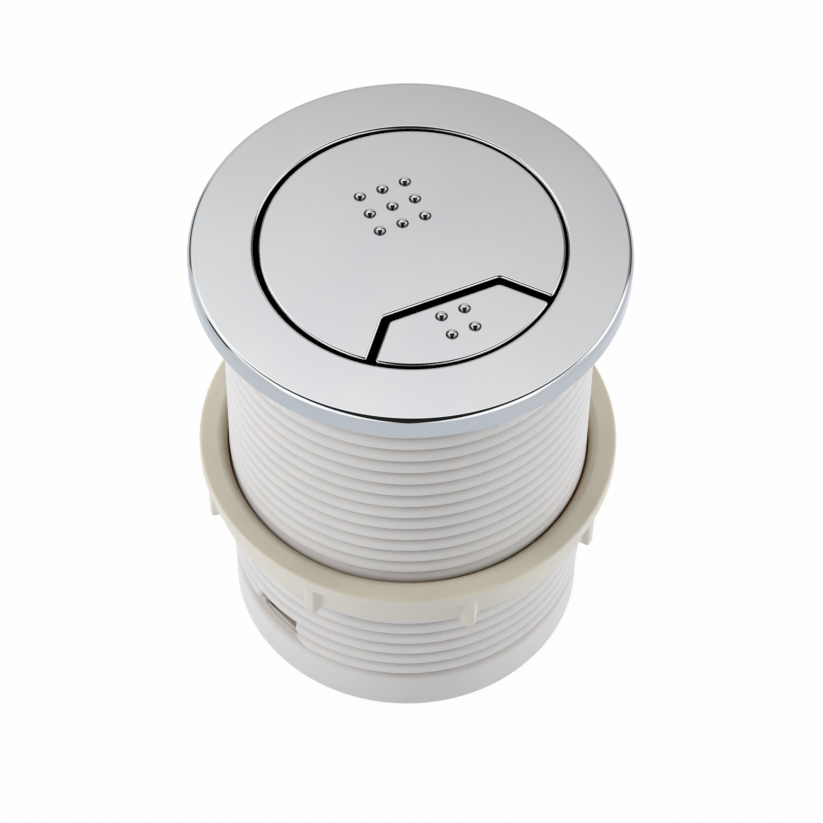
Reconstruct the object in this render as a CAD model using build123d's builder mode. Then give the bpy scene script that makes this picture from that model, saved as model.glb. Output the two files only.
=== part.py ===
from build123d import *
import os

# Dual flush push button actuator, air operated. Millimetres, +Z up through the buttons.
# The origin is on the axis, at the seat where the bezel rests on the cistern lid.

# Fits
slip = 0.3                   # gap round a piece that is pushed into its seat
guide_play = 0.25            # gap round a stem that slides in the guide

# Threaded body
thread_radius = 30.0         # crest of the coarse outside thread
thread_depth = 1.1
body_wall = 2.4              # wall under the thread root, round the upper bore
body_length = 83.0           # from the lid seat down to the foot
foot_length = 8.0            # plain band below the thread
foot_relief = 0.6            # the band is this much smaller than the crest
foot_edge = 0.8              # lead at the foot of the body
ledge_width = 1.0            # step in the bore that carries the button guide

# Bezel
bezel_reach = 5.0            # overhang past the thread crest
bezel_height = 4.0
bezel_top = 1.8
rim_wall = 1.6
bezel_edge = 0.55            # slope round the top of the rim: how far in, and how far down
bezel_edge_drop = 0.95
skirt_wall = 1.35
snap_count = 4
snap_width = 6.0
snap_reach = 0.9
snap_height = 2.0
snap_drop = 6.0              # top of the snap lugs below the lid seat
snap_turn = 45.0

# Buttons
button_gap = 0.8             # round both buttons, in the well
divider_gap = 1.3            # between the two buttons
divider_inset = 11.95        # straight middle of the divider, from the small button's edge
divider_half_width = 9.65
divider_slope = 50.0         # how steeply its two ends fall away
cap_depth = 7.0
cap_top = 1.6
cap_wall = 1.4
cap_edge = 0.35
press_travel = 8.0
press_spare = 3.0            # room left under a pressed button

# Plungers and their guide
full_axis_inset = 16.05      # from the large button's edge to its stem
half_axis_inset = 6.75       # from the small button's edge to its stem
full_head_width = 26.0
full_head_depth = 18.0
half_head_width = 13.0
half_head_depth = 6.0
full_span = 10.0             # across the arms of the cross-shaped stem
half_span = 6.0
stem_rib = 1.8
head_thickness = 1.8
stop_reach = 0.8             # barbs that hold a plunger up against the guide
stop_height = 1.5
stem_end = 33.0              # foot of the stems below the lid seat
guide_thickness = 2.5
collar_length = 4.5
collar_wall = 1.5

# Bellows, their base and hose nozzles
hose_recess = 16.0           # open space under the base
base_thickness = 3.0
bellows_gap = 0.6            # between the small button's bellows and the body
convolutions = 2
convolution_depth = 2.6
bellows_wall = 1.2
bellows_pad = 2.0            # closed top, where the stem bears
lip_thickness = 2.0          # turned-in foot, clamped by the nozzle
nozzle_flange_radius = 3.4
nozzle_flange_thickness = 1.2
nozzle_radius = 2.5
nozzle_bore_radius = 1.1
nozzle_nut_flats = 8.0
nozzle_nut_thickness = 2.5
spigot_radius = 2.0
spigot_length = 9.0

# Bayonet windows near the foot of the body, and the hooks of the base in them
window_count = 2
window_turn = 17.5
window_width = 8.5
window_height = 3.2
window_drop = 0.9            # top of the windows below the base
window_lip = 0.7             # wall left in front of the pocket behind each sill, at the thread root
window_pocket = 3.2          # depth of that pocket below the sill
hook_wall = 2.4
hook_reach = 1.6             # past the bore, into the window

# Lock nut
nut_drop = 44.0              # its clamping face below the lid seat
nut_clearance = 0.3          # round the thread crest
nut_lead = 0.5
nut_flange_reach = 5.0
nut_flange_thickness = 2.5
nut_hub_reach = 3.5
nut_height = 8.0
lug_count = 8
lug_turn = -7.0
lug_width = 2.2
lug_reach = 4.6
lug_drop = 2.0               # the lugs stand this far below the hub

# Sizes that follow
root_radius = thread_radius - thread_depth
upper_bore = root_radius - body_wall
lower_bore = upper_bore - ledge_width
bezel_radius = thread_radius + bezel_reach
rim_inside = bezel_radius - rim_wall
flange_radius = rim_inside - slip
flange_top = bezel_height - bezel_top
skirt_outside = upper_bore - slip
well_radius = skirt_outside - skirt_wall
button_radius = well_radius - button_gap
cap_foot = bezel_height - cap_depth
guide_top = cap_foot - press_travel - press_spare
ledge_z = guide_top - guide_thickness
collar_foot = ledge_z - collar_length
foot_z = -body_length
thread_foot = foot_z + foot_length
base_foot = foot_z + hose_recess
base_top = base_foot + base_thickness
base_radius = lower_bore - slip
window_top = base_foot - window_drop
window_foot = window_top - window_height
divider_offset = button_radius - divider_inset
full_axis = button_radius - full_axis_inset
half_axis = half_axis_inset - button_radius
bellows_radius = lower_bore + half_axis - bellows_gap
nut_bore = thread_radius + nut_clearance

os.makedirs("parts", exist_ok=True)


# Threaded body: flange, shank at the thread crest, foot band and stepped bore
with BuildPart() as threaded_body:
    with BuildSketch(Plane.XZ):
        with BuildLine():
            Polyline(
                (upper_bore, flange_top),
                (flange_radius, flange_top),
                (flange_radius, 0),
                (thread_radius, 0),
                (thread_radius, thread_foot),
                (thread_radius - foot_relief, thread_foot),
                (thread_radius - foot_relief, foot_z + foot_edge),
                (thread_radius - foot_relief - foot_edge, foot_z),
                (lower_bore, foot_z),
                (lower_bore, ledge_z),
                (upper_bore, ledge_z),
                close=True,
            )
        make_face()
    revolve(axis=Axis.Z)
    with BuildSketch(Plane.XY.offset(-snap_drop + slip)):
        with PolarLocations(skirt_outside, snap_count, start_angle=snap_turn):
            Rectangle(snap_reach + slip, snap_width + 2 * slip, align=(Align.MIN, Align.CENTER))
    extrude(amount=-snap_height - 2 * slip, mode=Mode.SUBTRACT)
    with BuildSketch(Plane.XY.offset(window_top)):
        with PolarLocations(lower_bore / 2, window_count, start_angle=window_turn):
            Rectangle(thread_radius, window_width, align=(Align.MIN, Align.CENTER))
    extrude(amount=-window_height, mode=Mode.SUBTRACT)
    with BuildSketch(Plane.XY.offset(window_foot)):
        with PolarLocations(lower_bore / 2, window_count, start_angle=window_turn):
            Rectangle(root_radius - window_lip - lower_bore / 2, window_width, align=(Align.MIN, Align.CENTER))
    extrude(amount=-window_pocket, mode=Mode.SUBTRACT)

threaded_body.part.label = "threaded_body"
export_step(threaded_body.part, "parts/threaded_body.step")


# Bezel: rim over the body's flange, and a skirt that forms the button well
with BuildPart() as bezel:
    with BuildSketch(Plane.XZ):
        with BuildLine():
            Polyline(
                (well_radius, bezel_height),
                (bezel_radius - bezel_edge, bezel_height),
                (bezel_radius, bezel_height - bezel_edge_drop),
                (bezel_radius, 0),
                (rim_inside, 0),
                (rim_inside, flange_top),
                (skirt_outside, flange_top),
                (skirt_outside, guide_top),
                (well_radius, guide_top),
                close=True,
            )
        make_face()
    revolve(axis=Axis.Z)
    with BuildSketch(Plane.XY.offset(-snap_drop)):
        with PolarLocations(skirt_outside - skirt_wall / 2, snap_count, start_angle=snap_turn):
            Rectangle(snap_reach + skirt_wall / 2, snap_width, align=(Align.MIN, Align.CENTER))
    extrude(amount=-snap_height)

bezel.part.label = "bezel"
export_step(bezel.part, "parts/bezel.step")


def divider_outline(growth):
    """Trapezoid taken up by the small button, moved out to either side of the divider."""
    with BuildSketch() as outline:
        with BuildLine():
            top = Line((-divider_half_width, -divider_offset), (divider_half_width, -divider_offset))
            right = PolarLine(top @ 1, 2 * button_radius, -divider_slope)
            left = PolarLine(top @ 0, 2 * button_radius, 180 + divider_slope)
            Line(left @ 1, right @ 1)
        make_face()
        offset(amount=growth, kind=Kind.INTERSECTION)
    return outline.sketch


def button_outline(part_of_well, inset):
    """Outline of the large or the small button, drawn in by an inset all round."""
    with BuildSketch() as outline:
        Circle(button_radius - inset)
        if part_of_well == "full":
            add(divider_outline(divider_gap / 2 + inset), mode=Mode.SUBTRACT)
        else:
            add(divider_outline(-divider_gap / 2 - inset), mode=Mode.INTERSECT)
    return outline.sketch


def stem_cross(axis, span, growth):
    """Cross section of a stem, grown all round for its guide hole."""
    with BuildSketch() as section:
        with Locations((0, axis)):
            Rectangle(span + 2 * growth, stem_rib + 2 * growth)
            Rectangle(stem_rib + 2 * growth, span + 2 * growth)
    return section.sketch


# Button caps: chromed shells, open below
with BuildPart() as full_flush_button:
    with BuildSketch(Plane.XY.offset(cap_foot)):
        add(button_outline("full", 0))
    extrude(amount=cap_depth)
    chamfer(full_flush_button.faces().sort_by(Axis.Z)[-1].edges(), cap_edge)
    with BuildSketch(Plane.XY.offset(cap_foot)):
        add(button_outline("full", cap_wall))
    extrude(amount=cap_depth - cap_top, mode=Mode.SUBTRACT)

full_flush_button.part.label = "full_flush_button"
export_step(full_flush_button.part, "parts/full_flush_button.step")

with BuildPart() as half_flush_button:
    with BuildSketch(Plane.XY.offset(cap_foot)):
        add(button_outline("half", 0))
    extrude(amount=cap_depth)
    chamfer(half_flush_button.faces().sort_by(Axis.Z)[-1].edges(), cap_edge)
    with BuildSketch(Plane.XY.offset(cap_foot)):
        add(button_outline("half", cap_wall))
    extrude(amount=cap_depth - cap_top, mode=Mode.SUBTRACT)

half_flush_button.part.label = "half_flush_button"
export_step(half_flush_button.part, "parts/half_flush_button.step")


# Button guide: plate on the body's ledge, with a collar round each stem
with BuildPart() as button_guide:
    with BuildSketch(Plane.XY.offset(guide_top)):
        Circle(skirt_outside)
    extrude(amount=-guide_thickness)
    with BuildSketch(Plane.XY.offset(ledge_z)):
        with Locations((0, full_axis)):
            Rectangle(full_span + 2 * collar_wall, full_span + 2 * collar_wall)
        with Locations((0, half_axis)):
            Rectangle(half_span + 2 * collar_wall, half_span + 2 * collar_wall)
    extrude(amount=-collar_length)
    with BuildSketch(Plane.XY.offset(guide_top)):
        add(stem_cross(full_axis, full_span, guide_play))
        add(stem_cross(half_axis, half_span, guide_play))
    extrude(amount=collar_foot - guide_top, mode=Mode.SUBTRACT)

button_guide.part.label = "button_guide"
export_step(button_guide.part, "parts/button_guide.step")


# Plungers: head inside the cap, cross-shaped stem, and barbs under the guide
head_top = bezel_height - cap_top
for side, axis, head_width, head_depth, span in (
    ("full", full_axis, full_head_width, full_head_depth, full_span),
    ("half", half_axis, half_head_width, half_head_depth, half_span),
):
    with BuildPart() as plunger:
        with BuildSketch(Plane.XY.offset(head_top)):
            with Locations((0, axis)):
                Rectangle(head_width, head_depth)
            add(button_outline(side, cap_wall + slip), mode=Mode.INTERSECT)
        extrude(amount=-head_thickness)
        with BuildSketch(Plane.XY.offset(head_top)):
            add(stem_cross(axis, span, 0))
        extrude(amount=-head_top - stem_end)
        with BuildSketch(Plane.XY.offset(collar_foot - slip)):
            with Locations((0, axis)):
                Rectangle(span + 2 * stop_reach, stem_rib)
        extrude(amount=-stop_height)
    plunger.part.label = f"{side}_flush_plunger"
    export_step(plunger.part, f"parts/{side}_flush_plunger.step")


# Bellows: closed rubber bulbs with a turned-in foot on the base
bellows_bore = bellows_radius - convolution_depth - bellows_wall
fold_height = (-stem_end - base_top) / (2 * convolutions - 1)
valleys = [(bellows_radius, -stem_end - (2 * fold - 1) * fold_height) for fold in range(1, convolutions)]

for side, axis in (("full", full_axis), ("half", half_axis)):
    with BuildPart() as bellows:
        with BuildSketch(Plane.XZ.offset(-axis)):
            with BuildLine():
                Polyline(
                    (0, -stem_end),
                    (bellows_radius, -stem_end),
                    (bellows_radius, base_top),
                    (nozzle_radius, base_top),
                    (nozzle_radius, base_top + lip_thickness),
                    (bellows_bore, base_top + lip_thickness),
                    (bellows_bore, -stem_end - bellows_pad),
                    (0, -stem_end - bellows_pad),
                    close=True,
                )
            make_face()
            with Locations(*valleys):
                Rectangle(convolution_depth, fold_height, align=Align.MAX, mode=Mode.SUBTRACT)
        revolve(axis=Axis((0, axis, 0), (0, 0, 1)))
    bellows.part.label = f"{side}_flush_bellows"
    export_step(bellows.part, f"parts/{side}_flush_bellows.step")


# Bellows base: disc in the lower bore, with hooked arms in the bayonet windows
with BuildPart() as bellows_base:
    with BuildSketch(Plane.XY.offset(base_top)):
        Circle(base_radius)
        with Locations((0, full_axis), (0, half_axis)):
            Circle(nozzle_radius + guide_play, mode=Mode.SUBTRACT)
    extrude(amount=-base_thickness)
    with BuildSketch(Plane.XY.offset(base_foot)):
        with PolarLocations(base_radius - hook_wall, window_count, start_angle=window_turn):
            Rectangle(hook_wall, window_width - 2 * slip, align=(Align.MIN, Align.CENTER))
        Circle(base_radius, mode=Mode.INTERSECT)
    extrude(amount=window_foot + slip - base_foot)
    with BuildSketch(Plane.XY.offset(window_top - slip)):
        with PolarLocations(base_radius - hook_wall, window_count, start_angle=window_turn):
            Rectangle(hook_wall + hook_reach, window_width - 2 * slip, align=(Align.MIN, Align.CENTER))
    extrude(amount=2 * slip - window_height)

bellows_base.part.label = "bellows_base"
export_step(bellows_base.part, "parts/bellows_base.step")


# Hose nozzles: flange inside the bellows, shank through the base, spigot for the hose
nozzle_top = base_top + lip_thickness + nozzle_flange_thickness
spigot_top = base_foot - nozzle_nut_thickness
for side, axis in (("full", full_axis), ("half", half_axis)):
    with BuildPart() as nozzle:
        with BuildSketch(Plane.XZ.offset(-axis)):
            with BuildLine():
                Polyline(
                    (nozzle_bore_radius, nozzle_top),
                    (nozzle_flange_radius, nozzle_top),
                    (nozzle_flange_radius, base_top + lip_thickness),
                    (nozzle_radius, base_top + lip_thickness),
                    (nozzle_radius, spigot_top),
                    (spigot_radius, spigot_top),
                    (spigot_radius, spigot_top - spigot_length),
                    (nozzle_bore_radius, spigot_top - spigot_length),
                    close=True,
                )
            make_face()
        revolve(axis=Axis((0, axis, 0), (0, 0, 1)))
    nozzle.part.label = f"{side}_flush_nozzle"
    export_step(nozzle.part, f"parts/{side}_flush_nozzle.step")

with BuildPart() as nozzle_nuts:
    with BuildSketch(Plane.XY.offset(base_foot)):
        with Locations((0, full_axis), (0, half_axis)):
            RegularPolygon(nozzle_nut_flats / 2, 6, major_radius=False)
            Circle(nozzle_radius, mode=Mode.SUBTRACT)
    extrude(amount=-nozzle_nut_thickness)

nozzle_nuts.part.label = "nozzle_nuts"
export_step(nozzle_nuts.part, "parts/nozzle_nuts.step")


# Lock nut: flange that clamps the lid from below, hub, and lugs to grip it by
with BuildPart() as lock_nut:
    with BuildSketch(Plane.XZ):
        with BuildLine():
            Polyline(
                (nut_bore + nut_lead, -nut_drop),
                (thread_radius + nut_flange_reach, -nut_drop),
                (thread_radius + nut_flange_reach, -nut_drop - nut_flange_thickness),
                (thread_radius + nut_hub_reach, -nut_drop - nut_flange_thickness),
                (thread_radius + nut_hub_reach, -nut_drop - nut_height),
                (nut_bore, -nut_drop - nut_height),
                (nut_bore, -nut_drop - nut_lead),
                close=True,
            )
        make_face()
    revolve(axis=Axis.Z)
    with BuildSketch(Plane.XY.offset(-nut_drop - nut_flange_thickness)):
        with PolarLocations(nut_bore + nut_lead, lug_count, start_angle=lug_turn):
            Rectangle(lug_reach - nut_clearance - nut_lead, lug_width, align=(Align.MIN, Align.CENTER))
    extrude(amount=nut_flange_thickness - nut_height - lug_drop)

lock_nut.part.label = "lock_nut"
export_step(lock_nut.part, "parts/lock_nut.step")
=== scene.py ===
from math import atan2, ceil, cos, degrees, floor, hypot, radians, sin, sqrt, tau

import bmesh
import bpy
from mathutils import Matrix, Vector


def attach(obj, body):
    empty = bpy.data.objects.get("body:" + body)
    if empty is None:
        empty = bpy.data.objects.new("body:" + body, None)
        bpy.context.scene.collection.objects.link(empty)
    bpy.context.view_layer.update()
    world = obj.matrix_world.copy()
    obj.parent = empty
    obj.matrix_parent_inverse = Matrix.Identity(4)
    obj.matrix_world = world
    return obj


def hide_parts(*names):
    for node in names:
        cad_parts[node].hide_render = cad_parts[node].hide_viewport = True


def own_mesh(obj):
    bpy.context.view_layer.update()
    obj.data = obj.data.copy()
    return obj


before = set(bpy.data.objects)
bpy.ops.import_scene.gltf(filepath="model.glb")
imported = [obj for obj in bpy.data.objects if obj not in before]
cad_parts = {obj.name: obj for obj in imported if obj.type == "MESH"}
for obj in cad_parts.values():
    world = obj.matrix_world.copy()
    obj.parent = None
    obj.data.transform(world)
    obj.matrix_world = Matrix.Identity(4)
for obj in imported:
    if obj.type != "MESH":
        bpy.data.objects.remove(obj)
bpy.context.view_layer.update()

# Every mesh is drawn in millimetres and brought to metres when it is finished.
METRES = 0.001

# Sizes that the solids have
SLIP = 0.3
SEAT = 0.0
BEZEL_TOP = 4.0
BEZEL_RADIUS = 35.0
RIM_INSIDE = 33.4
FLANGE_RADIUS = 33.1
FLANGE_TOP = 2.2
UPPER_BORE = 26.5
LOWER_BORE = 25.5
SKIRT_OUTSIDE = 26.2
SNAP_TOP = -6.0
SNAP_FOOT = -8.0
SNAP_REACH = 0.9
SNAP_WIDTH = 6.0
SNAP_TURN = 45
GUIDE_TOP = -14.0
LEDGE = -16.5
BUTTON_RADIUS = 24.05
CAP_DEPTH = 7.0
CAP_TOP = 1.6
CAP_WALL = 1.4
DIVIDER_CORNER = (9.65, -12.1)
DIVIDER_SLOPE = radians(50)
DIVIDER_HALF_GAP = 0.65
FULL_AXIS = 8.0
HALF_AXIS = -17.3
ROOT_RADIUS = 28.9
CREST_RADIUS = 30.0
THREAD_FOOT = -75.0
BODY_FOOT = -83.0
FOOT_EDGE = 0.8
WINDOW_TOP = -67.9
WINDOW_WIDTH = 8.5
WINDOW_TURN = 17.5
SILL = -71.1
POCKET_FOOT = -74.3
POCKET_REACH = 28.2
STEM_END = -33.0
BASE_TOP = -64.0
BELLOWS_RADIUS = 7.6
NOZZLE_RADIUS = 2.5
NUT_TOP = -44.0
NUT_FOOT = -52.0
NUT_FLANGE = 35.0
NUT_FLANGE_FOOT = -46.5
NUT_HUB = 33.5
LUG_COUNT = 8
LUG_TURN = -7.0
LUG_DROP = 2.0

# Sizes that follow the photograph more closely than the solids do
WELL_RADIUS = 24.66
CAP_LEAN = 0.22              # how far the caps sit to one side in the well
RIM_IN = 0.9                 # rounding of the bezel's rim, inwards and down
RIM_DOWN = 1.25
BAND_RADIUS = 29.8
WINDOW_FOOT = -72.3
POCKET_BACK = 26.7
NUT_MOUTH = 31.5
NUT_BORE = 30.36
NUT_LEAD_FOOT = -45.1

# Below this depth the walls of the caps and the well are painted near-black, as shade deep in the
# gap
GAP_SHADE_DEPTH = 1.4

# Raised dots
DOT_RADIUS = 1.0
DOT_RISE = 0.64
DOT_PITCH = 3.9

# Thread, right hand: where its first ridge starts near the foot, and the valley below that start
PITCH = 3.0
THREAD_START = radians(-158)
THREAD_LOW = -73.62

# Photograph's camera, round the middle of the bezel's top
PHOTO_TURN = -25.0
PHOTO_PITCH = 52.488
PHOTO_ROLL = 0.894
PHOTO_EYE = (0.525, -334.96, 393.42 + BEZEL_TOP)
PHOTO_LENS = 144.35


# Mesh helpers

def verts_of(geom):
    return [part for part in geom if isinstance(part, bmesh.types.BMVert)]


def edges_of(geom):
    return [part for part in geom if isinstance(part, bmesh.types.BMEdge)]


def all_of(bm):
    return bm.verts[:] + bm.edges[:] + bm.faces[:]


def radius_of(point):
    return hypot(point.x, point.y)


def turn_of(point):
    """Degrees round the axis."""
    return degrees(atan2(point.y, point.x))


def set_radius(vert, radius):
    scale = radius / radius_of(vert.co)
    vert.co.x *= scale
    vert.co.y *= scale


def smooth_step(share):
    share = min(max(share, 0), 1)
    return share * share * (3 - 2 * share)


def lathe(outline, steps, turn=0.0):
    """A closed outline of (radius, height) points, spun right round the axis."""
    bm = bmesh.new()
    points = [bm.verts.new((r * cos(turn), r * sin(turn), z)) for r, z in outline]
    edges = [bm.edges.new(pair) for pair in zip(points, points[1:] + points[:1])]
    bmesh.ops.spin(bm, geom=points + edges, cent=(0, 0, 0), axis=(0, 0, 1),
                   angle=tau, steps=steps, use_merge=True)
    bmesh.ops.remove_doubles(bm, verts=bm.verts, dist=0.001)
    bmesh.ops.recalc_face_normals(bm, faces=bm.faces)
    return bm


def circle_edges(bm, radius, height):
    """The edges of one turned corner."""
    near = 0.01
    return [e for e in bm.edges
            if all(abs(radius_of(v.co) - radius) < near and abs(v.co.z - height) < near
                   for v in e.verts)]


def soften(bm, edges, width, segments=3, clamp=True):
    """Round off edges, or fill a corner between two walls."""
    return bmesh.ops.bevel(bm, geom=edges, offset=width, offset_type="OFFSET", segments=segments,
                           profile=0.5, affect="EDGES", clamp_overlap=clamp, material=-1)


def finish_piece(bm, name, body, materials, nodes, smooth=35.0):
    """Bring a mesh to metres and make it a piece that rides on a body and stands for its solids."""
    bmesh.ops.scale(bm, vec=(METRES, METRES, METRES), verts=bm.verts)
    mesh = bpy.data.meshes.new(name)
    bm.to_mesh(mesh)
    bm.free()
    for material in materials:
        mesh.materials.append(material)
    mesh.shade_smooth()
    mesh.set_sharp_from_angle(angle=radians(smooth))
    piece = bpy.data.objects.new(name, mesh)
    bpy.context.scene.collection.objects.link(piece)
    weighted = piece.modifiers.new("flat faces stay flat", "WEIGHTED_NORMAL")
    weighted.keep_sharp = True
    weighted.weight = 100
    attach(piece, body)
    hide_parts(*nodes)
    return piece


# Finishes

class Shading:
    """The nodes of a material or a world, and the few steps that they are built with."""

    def __init__(self, tree):
        self.nodes = tree.nodes
        self.links = tree.links

    def node(self, kind, **settings):
        made = self.nodes.new(kind)
        for setting, value in settings.items():
            setattr(made, setting, value)
        return made

    def feed(self, socket, value):
        """Link a socket to another node's, or set it."""
        if isinstance(value, bpy.types.NodeSocket):
            self.links.new(value, socket)
        else:
            socket.default_value = value

    def spread(self, value, low, high, to_low=0, to_high=1):
        """A value brought from one range to another."""
        remap = self.node("ShaderNodeMapRange")
        remap.inputs["From Min"].default_value = low
        remap.inputs["From Max"].default_value = high
        remap.inputs["To Min"].default_value = to_low
        remap.inputs["To Max"].default_value = to_high
        self.links.new(value, remap.inputs["Value"])
        return remap.outputs["Result"]

    def blend(self, factor, low, high, way="MIX"):
        """A colour between two, by a factor."""
        mix = self.node("ShaderNodeMix", data_type="RGBA", blend_type=way)
        self.feed(mix.inputs["Factor"], factor)
        for label, colour in (("A", low), ("B", high)):
            self.feed(mix.inputs[label], (*colour, 1) if isinstance(colour, tuple) else colour)
        return mix.outputs["Result"]

    def mix(self, factor, low, high):
        """A value between two, by a factor."""
        mix = self.node("ShaderNodeMix")
        for label, value in (("Factor", factor), ("A", low), ("B", high)):
            self.feed(mix.inputs[label], value)
        return mix.outputs["Result"]

    def calculate(self, operation, first, second):
        """One sum of two values, or of a value and a number."""
        step = self.node("ShaderNodeMath", operation=operation)
        self.feed(step.inputs[0], first)
        self.feed(step.inputs[1], second)
        return step.outputs["Value"]

    def product(self, first, *others):
        for other in others:
            first = self.calculate("MULTIPLY", first, other)
        return first

    def height(self, vector):
        """The upward part of a vector."""
        split = self.node("ShaderNodeSeparateXYZ")
        self.links.new(vector, split.inputs["Vector"])
        return split.outputs["Z"]


def cloud_group():
    """Slow and fine variation that every moulded or plated surface has."""
    group = bpy.data.node_groups.new("surface_cloud", "ShaderNodeTree")
    for label, way, kind in (("Vector", "INPUT", "NodeSocketVector"),
                             ("Patch Scale", "INPUT", "NodeSocketFloat"),
                             ("Grain Scale", "INPUT", "NodeSocketFloat"),
                             ("Patch", "OUTPUT", "NodeSocketFloat"),
                             ("Grain", "OUTPUT", "NodeSocketFloat")):
        group.interface.new_socket(label, in_out=way, socket_type=kind)
    nodes, links = group.nodes, group.links
    inlet = nodes.new("NodeGroupInput")
    outlet = nodes.new("NodeGroupOutput")
    for label, detail in (("Patch", 3.0), ("Grain", 6.0)):
        noise = nodes.new("ShaderNodeTexNoise")
        noise.inputs["Detail"].default_value = detail
        noise.inputs["Roughness"].default_value = 0.55
        links.new(inlet.outputs["Vector"], noise.inputs["Vector"])
        links.new(inlet.outputs[f"{label} Scale"], noise.inputs["Scale"])
        links.new(noise.outputs["Fac"], outlet.inputs[label])
    return group


surface_cloud = cloud_group()


class Finish(Shading):
    """A material with its Principled shader, and the cloud group on Object coordinates."""

    def __init__(self, name, patch_scale, grain_scale):
        self.material = bpy.data.materials.new(name)
        self.material.use_nodes = True
        super().__init__(self.material.node_tree)
        self.shader = self.nodes["Principled BSDF"]
        coordinates = self.node("ShaderNodeTexCoord")
        self.place = coordinates.outputs["Object"]
        self.facing = coordinates.outputs["Normal"]
        cloud = self.node("ShaderNodeGroup", node_tree=surface_cloud)
        cloud.inputs["Patch Scale"].default_value = patch_scale
        cloud.inputs["Grain Scale"].default_value = grain_scale
        self.links.new(self.place, cloud.inputs["Vector"])
        self.patch = cloud.outputs["Patch"]
        self.grain = cloud.outputs["Grain"]

    def set(self, label, value):
        self.feed(self.shader.inputs[label], value)

    def past_height(self, low, high):
        """From 0 at one height to 1 at another."""
        return self.spread(self.height(self.place), low * METRES, high * METRES)

    def past_radius(self, low, high):
        """From 0 at one distance from the body's axis to 1 at another."""
        flat = self.node("ShaderNodeVectorMath", operation="MULTIPLY")
        flat.inputs[1].default_value = (1, 1, 0)
        self.links.new(self.place, flat.inputs[0])
        reach = self.node("ShaderNodeVectorMath", operation="LENGTH")
        self.links.new(flat.outputs["Vector"], reach.inputs[0])
        return self.spread(reach.outputs["Value"], low * METRES, high * METRES)

    def relief(self, depth, strength):
        """The grain as a shallow bump."""
        bump = self.node("ShaderNodeBump")
        bump.inputs["Strength"].default_value = strength
        bump.inputs["Distance"].default_value = depth * METRES
        self.links.new(self.grain, bump.inputs["Height"])
        self.set("Normal", bump.outputs["Normal"])


def chrome_finish():
    """Bright plating, a little hazy in patches, with a dark reflection painted on the flanks of the
    raised dots.
    """
    chrome = Finish("bright_chrome", patch_scale=60, grain_scale=900)
    plating = chrome.blend(chrome.spread(chrome.patch, 0.35, 0.65),
                           (0.55, 0.56, 0.575), (0.575, 0.58, 0.59))
    # Painted reflection: the steep flanks of the dots are coloured near-black, standing in for the
    # dark surroundings that they mirror.
    on_dot = chrome.past_height(BEZEL_TOP + 0.01, BEZEL_TOP + 0.03)
    steep = chrome.spread(chrome.height(chrome.facing), 0.68, 0.87, 1, 0)
    flank = chrome.product(on_dot, steep)
    chrome.set("Base Color", chrome.blend(flank, plating, (0.05, 0.05, 0.055)))
    chrome.set("Metallic", 1)
    chrome.set("Roughness", chrome.spread(chrome.patch, 0.4, 0.7, 0.03, 0.07))
    return chrome.material


def gap_shade_finish():
    """Near-black painted shade down inside the button well, for the deep gap round the caps."""
    gap_black = Finish("painted_gap_black", patch_scale=80, grain_scale=1500)
    gap_black.set("Base Color", gap_black.blend(gap_black.patch, (0.004, 0.004, 0.004), (0.009, 0.009, 0.010)))
    gap_black.set("Roughness", gap_black.spread(gap_black.grain, 0.3, 0.7, 0.5, 0.7))
    gap_black.set("Specular IOR Level", 0.2)
    return gap_black.material


def white_finish():
    """White moulded plastic, with shade painted greyer and warmer into the roots of the thread, and
    the inside painted lighter and warmer.
    """
    white = Finish("white_moulding", patch_scale=70, grain_scale=1400)
    # Painted shade: the thread's roots are greyer and warmer than its crests, fading out towards
    # the crest; the plain band keeps the crest colour.
    band = white.past_height(THREAD_FOOT + 0.5, THREAD_FOOT - 0.5)
    ridge = white.past_radius(ROOT_RADIUS + 0.1, CREST_RADIUS - 0.15)
    crest = white.calculate("MAXIMUM", ridge, band)
    shank = white.blend(crest, (0.53, 0.495, 0.46), (0.73, 0.72, 0.715))
    # Painted light and shade: inside the wall the white is lighter and warmer than outside,
    # standing in for the warm, shaded light seen through the windows.
    body = white.blend(white.past_radius(ROOT_RADIUS - 0.3, ROOT_RADIUS - 0.1),
                       (0.80, 0.755, 0.71), shank)
    mottle = white.blend(white.spread(white.patch, 0.35, 0.65), (0.96, 0.96, 0.96), (1, 1, 1))
    white.set("Base Color", white.blend(1, body, mottle, "MULTIPLY"))
    white.set("Roughness", white.spread(white.grain, 0.3, 0.7, 0.36, 0.5))
    white.set("Subsurface Weight", 0.08)
    white.set("Subsurface Scale", 0.0005)
    white.relief(depth=0.03, strength=0.3)
    return white.material


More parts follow.
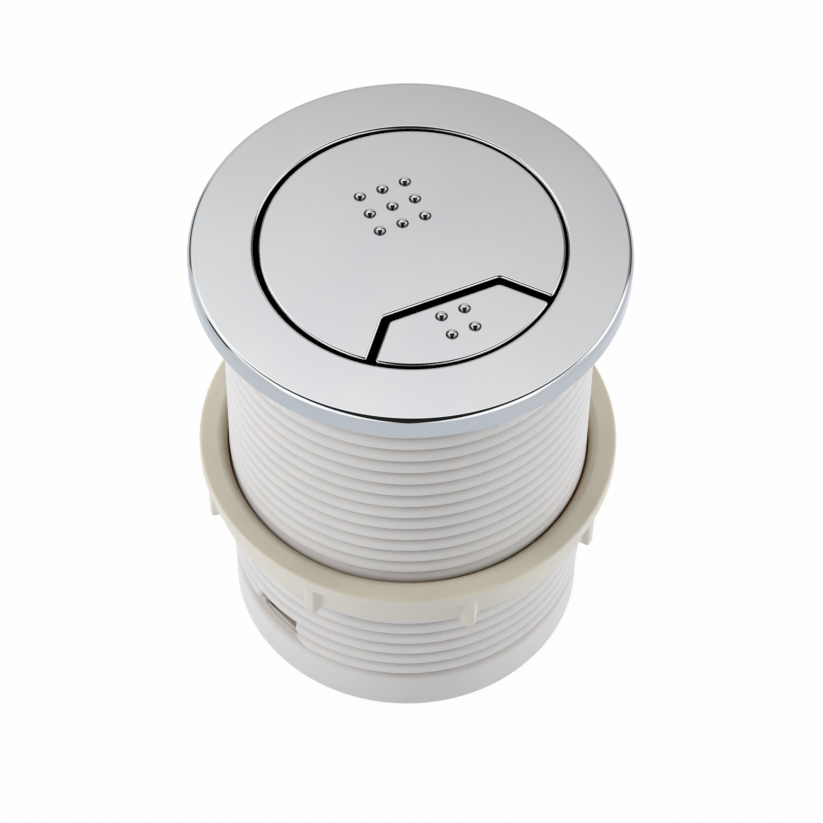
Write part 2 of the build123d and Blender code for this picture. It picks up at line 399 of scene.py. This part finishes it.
def nylon_finish():
    """Natural cream nylon, mottled and satin, with painted light and shade: greyer on its walls,
    amber at its lead and dark brown in its thread.
    """
    nylon = Finish("cream_nylon", patch_scale=110, grain_scale=1600)
    cream = nylon.blend(nylon.spread(nylon.patch, 0.3, 0.7),
                        (0.675, 0.626, 0.511), (0.725, 0.678, 0.56))
    # Painted light and shade: faces that look up keep the darker cream, and walls and undersides
    # are painted paler and greyer as lit faces.
    walls = nylon.blend(nylon.spread(nylon.height(nylon.facing), 0.35, 0.9),
                        (0.71, 0.682, 0.615), cream)
    # Painted shade for the gap round the body: amber on the lead and dark brown on the thread, kept
    # off near the foot.
    foot = nylon.past_height(NUT_FOOT + 1.5, NUT_FOOT + 0.5)
    past_lead = nylon.past_radius(NUT_BORE + 0.04, NUT_MOUTH - 0.3)
    past_thread = nylon.past_radius(NUT_BORE - 0.04, NUT_BORE + 0.02)
    painted_light_and_gap_shade = nylon.blend(nylon.calculate("MAXIMUM", past_lead, foot), (0.55, 0.39, 0.20), walls)
    painted_light_and_gap_shade = nylon.blend(nylon.calculate("MAXIMUM", past_thread, foot), (0.16, 0.07, 0.025), painted_light_and_gap_shade)
    nylon.set("Base Color", painted_light_and_gap_shade)
    nylon.set("Roughness", nylon.spread(nylon.grain, 0.3, 0.7, 0.4, 0.56))
    nylon.set("Subsurface Weight", 0.25)
    nylon.set("Subsurface Radius", (1.0, 0.62, 0.3))
    nylon.set("Subsurface Scale", 0.0012)
    nylon.relief(depth=0.03, strength=0.35)
    return nylon.material


def plain_finish(name, low, high, rough):
    """Satin rubber or plastic with a fine moulded grain."""
    plain = Finish(name, patch_scale=120, grain_scale=2200)
    plain.set("Base Color", plain.blend(plain.spread(plain.patch, 0.3, 0.7), low, high))
    plain.set("Roughness", plain.spread(plain.grain, 0.3, 0.7, *rough))
    plain.relief(depth=0.04, strength=0.4)
    return plain.material


bright_chrome = chrome_finish()
painted_gap_black = gap_shade_finish()
white_moulding = white_finish()
cream_nylon = nylon_finish()
black_rubber = plain_finish("black_rubber", (0.018, 0.018, 0.018), (0.035, 0.034, 0.033),
                            rough=(0.6, 0.8))
grey_acetal = plain_finish("grey_acetal", (0.42, 0.43, 0.44), (0.48, 0.49, 0.5),
                           rough=(0.35, 0.5))


# Bezel

def bezel_ring():
    """Ring with a rounded rim, and a skirt with snap lugs round the button well."""
    steps = 240
    lug_half_turn = 6.6
    rim = [(BEZEL_RADIUS - RIM_IN * (1 - sin(radians(turn))),
            BEZEL_TOP - RIM_DOWN * (1 - cos(radians(turn)))) for turn in range(0, 91, 6)]
    outline = [(WELL_RADIUS, BEZEL_TOP), *rim, (BEZEL_RADIUS, SEAT), (RIM_INSIDE, SEAT),
               (RIM_INSIDE, FLANGE_TOP), (SKIRT_OUTSIDE, FLANGE_TOP), (SKIRT_OUTSIDE, SNAP_TOP),
               (SKIRT_OUTSIDE, SNAP_FOOT), (SKIRT_OUTSIDE, GUIDE_TOP), (WELL_RADIUS, GUIDE_TOP),
               (WELL_RADIUS, BEZEL_TOP - GAP_SHADE_DEPTH)]
    bm = lathe(outline, steps, radians(SNAP_TURN + 180 / steps))
    lug_faces = []
    for face in bm.faces:
        middle = face.calc_center_median()
        turn = (turn_of(middle) - SNAP_TURN) % 90
        on_skirt = abs(radius_of(middle) - SKIRT_OUTSIDE) < 0.05 and SNAP_FOOT < middle.z < SNAP_TOP
        if on_skirt and min(turn, 90 - turn) < lug_half_turn:
            lug_faces.append(face)
    lugs = bmesh.ops.extrude_face_region(bm, geom=lug_faces)["geom"]
    bmesh.ops.delete(bm, geom=lug_faces, context="FACES_ONLY")
    reach = (SKIRT_OUTSIDE + SNAP_REACH) / SKIRT_OUTSIDE
    bmesh.ops.scale(bm, vec=(reach, reach, 1), verts=verts_of(lugs))
    soften(bm, circle_edges(bm, BEZEL_RADIUS, SEAT), 0.25, 3)
    soften(bm, circle_edges(bm, WELL_RADIUS, BEZEL_TOP), 0.46, 8)
    bmesh.ops.recalc_face_normals(bm, faces=bm.faces)
    # Painted shade: the well's wall below this depth takes the near-black gap colour.
    for face in bm.faces:
        middle = face.calc_center_median()
        if radius_of(middle) < WELL_RADIUS + 0.05 and middle.z < BEZEL_TOP - GAP_SHADE_DEPTH:
            face.material_index = 1
    return finish_piece(bm, "bezel_ring", "body",
                        [bright_chrome, painted_gap_black], ["bezel"])


# Buttons

def divider_planes(growth):
    """The three sides of the divider, moved out towards the large button by a growth."""
    slant = Vector((sin(DIVIDER_SLOPE), cos(DIVIDER_SLOPE), 0))
    corner = Vector((*DIVIDER_CORNER, 0))
    mirrored = Vector((-1, 1, 1))
    return [(corner + Vector((0, growth, 0)), Vector((0, 1, 0))),
            (corner + slant * growth, slant),
            ((corner + slant * growth) * mirrored, slant * mirrored)]


def half_outline(bm):
    """Small button: what the disc has inside the divider."""
    for point, normal in divider_planes(-DIVIDER_HALF_GAP):
        bmesh.ops.bisect_plane(bm, geom=all_of(bm), plane_co=point, plane_no=normal,
                               clear_outer=True)


def full_outline(bm):
    """Large button: the disc without what the divider takes."""
    planes = divider_planes(DIVIDER_HALF_GAP)
    middle_point, middle_normal = planes[0]
    for point, normal in planes:
        low = [f for f in bm.faces
               if all((v.co - middle_point).dot(middle_normal) < 0.001 for v in f.verts)]
        part = low or bm.faces[:]
        edges = {e for f in part for e in f.edges}
        verts = {v for f in part for v in f.verts}
        bmesh.ops.bisect_plane(bm, geom=[*part, *edges, *verts], plane_co=point, plane_no=normal)
    inside = [f for f in bm.faces
              if all((f.calc_center_median() - point).dot(normal) < 0 for point, normal in planes)]
    bmesh.ops.delete(bm, geom=inside, context="FACES")
    bmesh.ops.dissolve_faces(bm, faces=bm.faces[:])


def clear_corners(bm):
    """Leave no point of the outline close to a corner, so that the corner can be rounded."""
    room = 1.3
    corners = [v for v in bm.verts if v.calc_edge_angle(0) > radians(15)]
    near = [v for v in bm.verts
            if v not in corners and min((v.co - corner.co).length for corner in corners) < room]
    bmesh.ops.dissolve_verts(bm, verts=near)


def button_cap(name, body, node, cut, dots, dot_middle):
    """A shell open below, with its raised dots."""
    close = 0.001
    lean = radians(PHOTO_TURN)
    seat = Matrix.Translation((CAP_LEAN * cos(lean), CAP_LEAN * sin(lean), BEZEL_TOP))
    bm = bmesh.new()
    bmesh.ops.create_circle(bm, cap_ends=True, segments=288, radius=BUTTON_RADIUS, matrix=seat)
    cut(bm)
    clear_corners(bm)
    bmesh.ops.recalc_face_normals(bm, faces=bm.faces)
    top = bm.faces[:]
    if top[0].normal.z < 0:
        bmesh.ops.reverse_faces(bm, faces=top)
    outline = [e for e in bm.edges if e.is_boundary]
    skirt = bmesh.ops.extrude_edge_only(bm, edges=outline)["geom"]
    bmesh.ops.translate(bm, vec=(0, 0, -CAP_DEPTH), verts=verts_of(skirt))
    bmesh.ops.contextual_create(bm, geom=edges_of(skirt))
    bmesh.ops.recalc_face_normals(bm, faces=bm.faces)
    corners = [e for e in bm.edges
               if abs(e.verts[0].co.z - e.verts[1].co.z) > 1 and e.calc_face_angle(0) > radians(15)]
    soften(bm, corners, 0.5, 4)
    underside = [f for f in bm.faces if f.calc_center_median().z < BEZEL_TOP - CAP_DEPTH + close]
    bmesh.ops.inset_region(bm, faces=underside, thickness=CAP_WALL, use_even_offset=True,
                           use_boundary=True)
    hollow = bmesh.ops.extrude_face_region(bm, geom=underside)["geom"]
    bmesh.ops.delete(bm, geom=underside, context="FACES_ONLY")
    bmesh.ops.translate(bm, vec=(0, 0, CAP_DEPTH - CAP_TOP), verts=verts_of(hollow))
    bmesh.ops.bisect_plane(bm, geom=all_of(bm), plane_co=(0, 0, BEZEL_TOP - GAP_SHADE_DEPTH),
                           plane_no=(0, 0, 1))
    bmesh.ops.recalc_face_normals(bm, faces=bm.faces)
    rim = [e for e in bm.edges
           if all(v.co.z > BEZEL_TOP - close for v in e.verts)
           and e.calc_face_angle(0) > radians(30)]
    soften(bm, rim, 0.4, 6, clamp=False)
    # Painted shade: the cap's walls below this depth take the near-black gap colour.
    for face in bm.faces:
        if face.calc_center_median().z < BEZEL_TOP - GAP_SHADE_DEPTH and abs(face.normal.z) < 0.5:
            face.material_index = 1
    for column in range(dots):
        for row in range(dots):
            along = (column - (dots - 1) / 2) * DOT_PITCH
            across = (row - (dots - 1) / 2) * DOT_PITCH
            raised_dot(bm, Vector((dot_middle[0] + along, dot_middle[1] + across, BEZEL_TOP)))
    return finish_piece(bm, name, body, [bright_chrome, painted_gap_black], [node])


def raised_dot(bm, place):
    """A small dome, set a little into the top of the cap."""
    sunk = Vector((0, 0, 0.03))
    ball = (DOT_RADIUS ** 2 + DOT_RISE ** 2) / (2 * DOT_RISE)
    middle = Matrix.Translation(place + Vector((0, 0, DOT_RISE - ball)))
    verts = bmesh.ops.create_uvsphere(bm, u_segments=40, v_segments=48, radius=ball,
                                      matrix=middle)["verts"]
    edges = {e for v in verts for e in v.link_edges}
    faces = {f for v in verts for f in v.link_faces}
    cut = bmesh.ops.bisect_plane(bm, geom=[*verts, *edges, *faces], plane_co=place - sunk,
                                 plane_no=(0, 0, -1), clear_outer=True)
    bmesh.ops.contextual_create(bm, geom=edges_of(cut["geom_cut"]))


# Thread and body

def thread_surface(offset, foot, top):
    """The turns of the thread between two heights, moved out by an offset."""
    steps = 192
    # One ridge from valley to valley: a long upper flank, and a lip where the lower flank cuts back
    ridge = [(28.90, 0.0), (28.92, -0.14), (29.08, -0.30), (29.34, -0.52), (29.58, -0.82),
             (29.76, -1.18), (29.89, -1.58), (29.97, -2.00), (30.00, -2.28), (29.97, -2.41),
             (29.84, -2.50), (29.50, -2.60), (29.15, -2.70), (28.93, -2.82), (28.90, -3.0)]
    first = floor((foot - THREAD_LOW) / PITCH) - 1
    last = ceil((top - THREAD_LOW) / PITCH)
    lift = THREAD_LOW + PITCH * (first + 1)
    bm = bmesh.new()
    points = [bm.verts.new(((r + offset) * cos(THREAD_START), (r + offset) * sin(THREAD_START),
                            z + lift)) for r, z in ridge]
    edges = [bm.edges.new(pair) for pair in zip(points, points[1:])]
    bmesh.ops.spin(bm, geom=points + edges, cent=(0, 0, 0), axis=(0, 0, 1),
                   dvec=(0, 0, PITCH / steps), angle=tau, steps=steps, use_merge=False)
    turn = all_of(bm)
    for number in range(1, last - first + 1):
        copy = bmesh.ops.duplicate(bm, geom=turn)["geom"]
        bmesh.ops.translate(bm, vec=(0, 0, PITCH * number), verts=verts_of(copy))
    bmesh.ops.remove_doubles(bm, verts=bm.verts, dist=0.01)
    for height, normal in ((top, (0, 0, 1)), (foot, (0, 0, -1))):
        bmesh.ops.bisect_plane(bm, geom=all_of(bm), dist=0.0001, plane_co=(0, 0, height),
                               plane_no=normal, clear_outer=True)
    bmesh.ops.remove_doubles(bm, verts=bm.verts, dist=0.01)
    return bm


def pull_edge(bm, edge, radius, height):
    """Carry a turned edge on to a new radius and height."""
    made = bmesh.ops.extrude_edge_only(bm, edges=edge)["geom"]
    for v in verts_of(made):
        set_radius(v, radius)
        v.co.z = height
    return edges_of(made)


def thread_turns(point):
    """Turns of the thread from its start up to the ridge that a point is on."""
    turn = (atan2(point.y, point.x) - THREAD_START) / tau % 1
    return floor((point.z - THREAD_LOW) / PITCH - turn + 0.0001) + turn


def window_side(point):
    """Degrees round from the middle of the nearer bayonet window."""
    return abs((turn_of(point) - WINDOW_TURN + 90) % 180 - 90)


def ridge_height(point):
    """How much of the ridge is left: none before its start, and round tips at the windows."""
    run_in = 10 / 360
    tip = 2.6
    crest_rise = 0.95
    window_end = degrees(WINDOW_WIDTH / 2 / BAND_RADIUS)
    turns = thread_turns(point)
    left = smooth_step(turns / run_in)
    crest = THREAD_LOW + PITCH * turns + crest_rise
    if WINDOW_FOOT < crest < WINDOW_TOP:
        past = min(max((window_side(point) - window_end) / tip, 0), 1)
        left *= sqrt(1 - (1 - past) ** 2)
    return left


def beside_window(point):
    """Whether a point is where the ridges end at a window, which takes a finer mesh."""
    near, far = 6, 13            # degrees from the window's middle
    low, high = -73, -65
    return near < window_side(point) < far and low < point.z < high


def threaded_tube():
    """The shank with its thread, plain band, stepped bore and flange."""
    run_out = 1.5
    bm = thread_surface(0, THREAD_FOOT, SEAT)
    round_windows = [e for e in bm.edges if abs(e.verts[0].co.z - e.verts[1].co.z) < 0.05
                     and all(beside_window(v.co) for v in e.verts)]
    bmesh.ops.subdivide_edges(bm, edges=round_windows, cuts=3)
    # The ridge runs out into the plain band at the foot, and under the flange at the top
    for v in bm.verts:
        radius = ROOT_RADIUS + (radius_of(v.co) - ROOT_RADIUS) * ridge_height(v.co)
        near = smooth_step(min(v.co.z - THREAD_FOOT, SEAT - v.co.z) / run_out)
        set_radius(v, BAND_RADIUS + (radius - BAND_RADIUS) * near)
    edge = [e for e in bm.edges if e.is_boundary and e.verts[0].co.z < THREAD_FOOT + 0.01]
    top = [e for e in bm.edges if e.is_boundary and e.verts[0].co.z > SEAT - 0.01]
    for radius, height in ((BAND_RADIUS, BODY_FOOT + FOOT_EDGE),
                           (BAND_RADIUS - 0.25, BODY_FOOT + 0.2),
                           (BAND_RADIUS - FOOT_EDGE, BODY_FOOT), (LOWER_BORE, BODY_FOOT),
                           (LOWER_BORE, LEDGE), (UPPER_BORE, LEDGE), (UPPER_BORE, FLANGE_TOP),
                           (FLANGE_RADIUS, FLANGE_TOP), (FLANGE_RADIUS, SEAT)):
        edge = pull_edge(bm, edge, radius, height)
    bmesh.ops.bridge_loops(bm, edges=edge + top)
    bmesh.ops.recalc_face_normals(bm, faces=bm.faces)
    return bm


def body_cuts():
    """Bayonet windows near the foot and snap pockets for the bezel, as one cutter."""
    inner, outer = 20, 34        # well inside the wall, and well outside it
    bm = bmesh.new()
    section = [(inner, WINDOW_TOP), (outer, WINDOW_TOP), (outer, WINDOW_FOOT),
               (POCKET_REACH, WINDOW_FOOT), (POCKET_REACH, POCKET_FOOT), (POCKET_BACK, POCKET_FOOT),
               (POCKET_BACK, SILL), (inner, SILL)]
    for turn in (WINDOW_TURN, WINDOW_TURN + 180):
        side = bm.faces.new([bm.verts.new((r, -WINDOW_WIDTH / 2, z)) for r, z in section])
        far = verts_of(bmesh.ops.extrude_face_region(bm, geom=[side])["geom"])
        bmesh.ops.translate(bm, vec=(0, WINDOW_WIDTH, 0), verts=far)
        bmesh.ops.rotate(bm, cent=(0, 0, 0), matrix=Matrix.Rotation(radians(turn), 3, "Z"),
                         verts=far + list(side.verts))
    depth = SNAP_REACH + SLIP
    pocket = Matrix.Diagonal((depth, SNAP_WIDTH + 2 * SLIP, SNAP_TOP - SNAP_FOOT + 2 * SLIP, 1))
    out = Matrix.Translation((SKIRT_OUTSIDE + depth / 2, 0, (SNAP_TOP + SNAP_FOOT) / 2))
    for quarter in range(4):
        round_axis = Matrix.Rotation(radians(SNAP_TURN + 90 * quarter), 4, "Z")
        bmesh.ops.create_cube(bm, size=1, matrix=round_axis @ out @ pocket)
    bmesh.ops.recalc_face_normals(bm, faces=bm.faces)
    return bm


def cut_away(bm, cutter_bm):
    """The first mesh without what the second takes up."""
    holders = []
    for shape, label in ((bm, "whole"), (cutter_bm, "cutter")):
        mesh = bpy.data.meshes.new(label)
        shape.to_mesh(mesh)
        shape.free()
        holder = bpy.data.objects.new(label, mesh)
        bpy.context.scene.collection.objects.link(holder)
        holders.append(holder)
    whole, cutter = holders
    cut = whole.modifiers.new("cut", "BOOLEAN")
    cut.operation = "DIFFERENCE"
    cut.solver = "EXACT"
    cut.object = cutter
    result = bmesh.new()
    result.from_object(whole, bpy.context.evaluated_depsgraph_get())
    for holder in holders:
        bpy.data.objects.remove(holder)
    return result


def threaded_body():
    bm = cut_away(threaded_tube(), body_cuts())
    return finish_piece(bm, "threaded_shell", "body", [white_moulding],
                        ["threaded_body"], 50)


# Lock nut

def nut_thread():
    """The nut's own thread, a little clear of the body's, with a lead at either end."""
    clear = 0.26
    gap = 0.02
    run_out = 1.1
    lead_radius = NUT_BORE - 0.04
    wall = NUT_BORE + 0.06
    bm = thread_surface(clear, NUT_FOOT + gap, NUT_LEAD_FOOT - gap)
    for v in bm.verts:
        near = smooth_step((min(NUT_LEAD_FOOT - v.co.z, v.co.z - NUT_FOOT) - gap) / run_out)
        set_radius(v, lead_radius + (radius_of(v.co) - lead_radius) * near)
    edge = [e for e in bm.edges if e.is_boundary and e.verts[0].co.z > NUT_LEAD_FOOT - 0.1]
    foot = [e for e in bm.edges if e.is_boundary and e.verts[0].co.z < NUT_FOOT + 0.1]
    for height in (NUT_LEAD_FOOT - gap, NUT_FOOT + gap):
        edge = pull_edge(bm, edge, wall, height)
    bmesh.ops.bridge_loops(bm, edges=edge + foot)
    bmesh.ops.recalc_face_normals(bm, faces=bm.faces)
    return bm


def lug_side(place):
    """Arc distance from a point of the nut to the middle of the nearest lug."""
    lug_radius = 34.0
    apart = 360 / LUG_COUNT
    turn = (turn_of(place) - LUG_TURN + apart / 2) % apart - apart / 2
    return abs(radians(turn)) * lug_radius


def lug_swell(side):
    """How far a lug stands out of the hub, from 0 to 1, with rounded edges and a soft foot."""
    half_width = 1.6
    flank = 0.95
    return smooth_step((half_width - side) / flank)


def lug_drop(side):
    """How far a lug reaches below the hub: a round tip that runs out in a fillet on both sides."""
    tip = 1.15
    shoulder = 1.02
    fillet = 1.7
    if side < shoulder:
        return LUG_DROP - tip + sqrt(tip ** 2 - side ** 2)
    run_out = max(0.0, 1 - (side - shoulder) / fillet)
    return (LUG_DROP - tip + sqrt(tip ** 2 - shoulder ** 2)) * run_out ** 2.4


def lock_nut():
    """Flange and hub in one turned shape, with lugs drawn out of the hub, and its thread."""
    foot_round = 0.4
    lug_reach = 1.1
    outline = [(NUT_MOUTH, NUT_TOP), (NUT_FLANGE, NUT_TOP), (NUT_FLANGE, NUT_FLANGE_FOOT),
               (NUT_HUB, NUT_FLANGE_FOOT), (NUT_HUB, NUT_FOOT), (NUT_BORE, NUT_FOOT),
               (NUT_BORE, NUT_LEAD_FOOT)]
    bm = lathe(outline, 1080)
    soften(bm, circle_edges(bm, NUT_MOUTH, NUT_TOP), 0.6, 5)
    soften(bm, circle_edges(bm, NUT_FLANGE, NUT_TOP), 0.45, 5)
    soften(bm, circle_edges(bm, NUT_FLANGE, NUT_FLANGE_FOOT), 0.35, 4)
    soften(bm, circle_edges(bm, NUT_HUB, NUT_FLANGE_FOOT), 0.9, 6)
    soften(bm, circle_edges(bm, NUT_HUB, NUT_FOOT), foot_round, 4)
    for v in bm.verts:
        side = lug_side(v.co)
        reach = radius_of(v.co)
        if v.co.z < NUT_FLANGE_FOOT - 0.01 and reach > NUT_HUB - foot_round - 0.01:
            set_radius(v, max(reach, min(reach, NUT_HUB) + lug_reach * lug_swell(side)))
        if v.co.z < NUT_FOOT + foot_round + 0.01:
            v.co.z -= lug_drop(side)
    bmesh.ops.recalc_face_normals(bm, faces=bm.faces)
    thread = bpy.data.meshes.new("nut_thread")
    thread_bm = nut_thread()
    thread_bm.to_mesh(thread)
    thread_bm.free()
    bm.from_mesh(thread)
    bpy.data.meshes.remove(thread)
    return finish_piece(bm, "cream_lock_nut", "nut", [cream_nylon], ["lock_nut"], 40)


# Bellows

def rubber_bellows(name, node, axis):
    """A closed rubber bulb with round folds, turned in at its foot."""
    folds = 6
    wall = 1.0
    on_axis = 0.001
    pad_radius, pad_edge, pad_thickness = 4.6, 0.6, 1.6
    valley = 5.2
    foot_radius, lip, lip_inside = 6.4, 1.4, 4.1
    height = STEM_END - BASE_TOP
    fold = (height - pad_edge - lip) / folds
    outside = [(on_axis, STEM_END), (pad_radius, STEM_END)]
    for number in range(folds):
        top = STEM_END - pad_edge - number * fold
        outside += [(valley, top), (BELLOWS_RADIUS, top - fold * 0.42),
                    (BELLOWS_RADIUS, top - fold * 0.58)]
    inside = [(r - wall, z) for r, z in outside[2:]][::-1]
    foot = [(valley, BASE_TOP + lip), (foot_radius, BASE_TOP), (NOZZLE_RADIUS, BASE_TOP),
            (NOZZLE_RADIUS, BASE_TOP + lip), (lip_inside, BASE_TOP + lip)]
    bm = lathe([*outside, *foot, *inside, (on_axis, STEM_END - pad_thickness)], 64)
    bmesh.ops.translate(bm, vec=(0, axis, 0), verts=bm.verts)
    piece = finish_piece(bm, name, "body", [black_rubber], [node], 30)
    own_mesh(piece)
    return piece


bezel_ring()
button_cap("full_flush_cap", "full_button", "full_flush_button", full_outline,
           dots=3, dot_middle=(0.6, 8.35))
button_cap("half_flush_cap", "half_button", "half_flush_button", half_outline,
           dots=2, dot_middle=(0.3, -17.1))
threaded_body()
lock_nut()
rubber_bellows("full_flush_rubber_bellows", "full_flush_bellows", FULL_AXIS)
rubber_bellows("half_flush_rubber_bellows", "half_flush_bellows", HALF_AXIS)

for node, material in (("button_guide", white_moulding), ("full_flush_plunger", white_moulding),
                       ("half_flush_plunger", white_moulding), ("bellows_base", white_moulding),
                       ("full_flush_nozzle", grey_acetal), ("half_flush_nozzle", grey_acetal),
                       ("nozzle_nuts", grey_acetal)):
    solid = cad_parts[node]
    solid.data.materials.clear()
    solid.data.materials.append(material)


# Studio

def studio_floor():
    """A pale floor: white to the camera, faintly blue in reflections, with a trace of shadow."""
    bm = bmesh.new()
    bmesh.ops.create_grid(bm, x_segments=1, y_segments=1, size=4.0,
                          matrix=Matrix.Translation((0, 0, BODY_FOOT * METRES)))
    mesh = bpy.data.meshes.new("studio_floor")
    bm.to_mesh(mesh)
    bm.free()
    ground = bpy.data.objects.new("studio_floor", mesh)
    bpy.context.scene.collection.objects.link(ground)
    material = bpy.data.materials.new("pale_floor")
    material.use_nodes = True
    pale = Shading(material.node_tree)
    pale.nodes.clear()
    paper = pale.node("ShaderNodeBsdfDiffuse")
    paper.inputs["Color"].default_value = (0.85, 0.85, 0.86, 1)
    path = pale.node("ShaderNodeLightPath")
    white = pale.node("ShaderNodeEmission")
    reflected = path.outputs["Is Glossy Ray"]
    pale.feed(white.inputs["Color"], pale.blend(reflected, (1, 1, 1), (0.85, 0.9, 0.955)))
    seen = pale.calculate("MAXIMUM", path.outputs["Is Camera Ray"], reflected)
    mix = pale.node("ShaderNodeMixShader")
    pale.feed(mix.inputs["Fac"], pale.product(seen, 0.96))
    pale.feed(mix.inputs[1], paper.outputs["BSDF"])
    pale.feed(mix.inputs[2], white.outputs["Emission"])
    out = pale.node("ShaderNodeOutputMaterial")
    pale.feed(out.inputs["Surface"], mix.outputs["Shader"])
    mesh.materials.append(material)


def studio_world():
    """White behind the part; in reflections, a ceiling and white walls with dark cards between."""
    world = bpy.data.worlds.new("studio")
    bpy.context.scene.world = world
    world.use_nodes = True
    studio = Shading(world.node_tree)
    studio.nodes.clear()
    direction = studio.node("ShaderNodeTexCoord").outputs["Generated"]

    def towards(azimuth):
        dot = studio.node("ShaderNodeVectorMath", operation="DOT_PRODUCT")
        dot.inputs[1].default_value = (cos(radians(azimuth)), sin(radians(azimuth)), 0)
        studio.feed(dot.inputs[0], direction)
        return dot.outputs["Value"]

    def between(value, low, full_low, full_high, high):
        return studio.product(studio.spread(value, low, full_low),
                              studio.spread(value, full_high, high, 1, 0))

    def dim(light, mask, strength):
        return studio.product(light, studio.spread(mask, 0, 1, 1, strength))

    def highest(first, *others):
        for other in others:
            first = studio.calculate("MAXIMUM", first, other)
        return first

    # Directions as the photograph's camera has them
    rise = studio.height(direction)
    front = towards(PHOTO_TURN - 90)
    right = towards(PHOTO_TURN)
    left = towards(PHOTO_TURN + 180)
    aside = highest(left, right)

    # A ceiling that is brighter to the left, over plain walls
    ceiling = studio.calculate("SUBTRACT", studio.spread(rise, 0.66, 0.86, 0.38, 1.76),
                               studio.product(right, 1.5))
    ceiling = studio.calculate("MINIMUM", highest(ceiling, 0.4), 1.7)
    room = studio.mix(studio.spread(rise, 0.4, 0.62), 0.95, ceiling)

    # White walls for the bright bands along the chrome's edges
    front_wall = studio.product(studio.spread(front, 0, 0.15), between(rise, 0.05, 0.11, 0.72, 0.8),
                                studio.spread(aside, 0.8, 0.9, 1, 0))
    right_wall = studio.product(between(front, -0.52, -0.47, 0, 0.2),
                                between(rise, 0.12, 0.22, 0.72, 0.78),
                                studio.spread(right, 0.42, 0.55))
    room = highest(room, studio.product(highest(front_wall, right_wall), 1.7))

    # Dark cards for the black lines in the chrome's edges and dots
    overhead_card = studio.product(between(front, -0.3, -0.2, 0.3, 0.4),
                                   studio.spread(rise, 0.76, 0.82))
    lens_edge = studio.calculate("SUBTRACT", rise, studio.product(aside, 1.5))
    lens_card = studio.product(studio.spread(lens_edge, -0.04, 0.02),
                               studio.spread(front, 0.15, 0.25))
    left_card = studio.product(between(front, -0.22, -0.16, 0.08, 0.11),
                               between(rise, 0.02, 0.06, 0.42, 0.48),
                               studio.spread(left, 0.4, 0.5))
    back_cards = studio.product(between(front, -0.86, -0.8, -0.54, -0.48),
                                between(rise, -0.02, 0.02, 0.48, 0.54),
                                studio.spread(aside, 0.35, 0.5))
    reflected = dim(room, highest(overhead_card, lens_card, left_card), 0.015)
    reflected = dim(reflected, back_cards, 0.08)

    # Light on the part, held back from high in front
    shade = studio.product(studio.spread(front, -0.05, 0.3), studio.spread(rise, 0.26, 0.46))
    daylight = dim(studio.spread(rise, 0.1, 0.5, 1.22, 0.82), shade, 0.16)

    path = studio.node("ShaderNodeLightPath")
    lit = studio.mix(path.outputs["Is Glossy Ray"], daylight, reflected)
    light = studio.node("ShaderNodeBackground")
    light.inputs["Color"].default_value = (1, 1, 1, 1)
    studio.feed(light.inputs["Strength"], studio.mix(path.outputs["Is Camera Ray"], lit, 1))
    out = studio.node("ShaderNodeOutputWorld")
    studio.feed(out.inputs["Surface"], light.outputs["Background"])


def softbox(name, azimuth, elevation, distance, size, watts):
    """A round area light that faces the part."""
    lamp = bpy.data.lights.new(name, "AREA")
    lamp.shape = "DISK"
    lamp.size = size
    lamp.energy = watts
    holder = bpy.data.objects.new(name, lamp)
    holder.visible_glossy = False
    bpy.context.scene.collection.objects.link(holder)
    turn = radians(azimuth)
    rise = radians(elevation)
    aim = Vector((0, 0, -0.03))
    away = Vector((cos(turn) * cos(rise), sin(turn) * cos(rise), sin(rise)))
    holder.location = aim + away * distance
    holder.rotation_euler = away.to_track_quat("Z", "Y").to_euler()


studio_floor()
studio_world()
softbox("left_softbox", azimuth=170, elevation=34, distance=1.0, size=0.5, watts=3.8)
softbox("right_softbox", azimuth=-18, elevation=18, distance=1.1, size=0.5, watts=3.9)

camera_data = bpy.data.cameras.new("photo_camera")
camera_data.lens = PHOTO_LENS
camera_data.sensor_width = 36
camera_data.clip_start = 0.01
camera = bpy.data.objects.new("photo_camera", camera_data)
bpy.context.scene.collection.objects.link(camera)
turned = Matrix.Rotation(radians(PHOTO_TURN), 4, "Z")
camera.matrix_world = (turned @ Matrix.Translation(Vector(PHOTO_EYE) * METRES)
                       @ Matrix.Rotation(radians(90 - PHOTO_PITCH), 4, "X")
                       @ Matrix.Rotation(radians(PHOTO_ROLL), 4, "Z"))
bpy.context.scene.camera = camera
bpy.context.scene.view_settings.view_transform = "Standard"
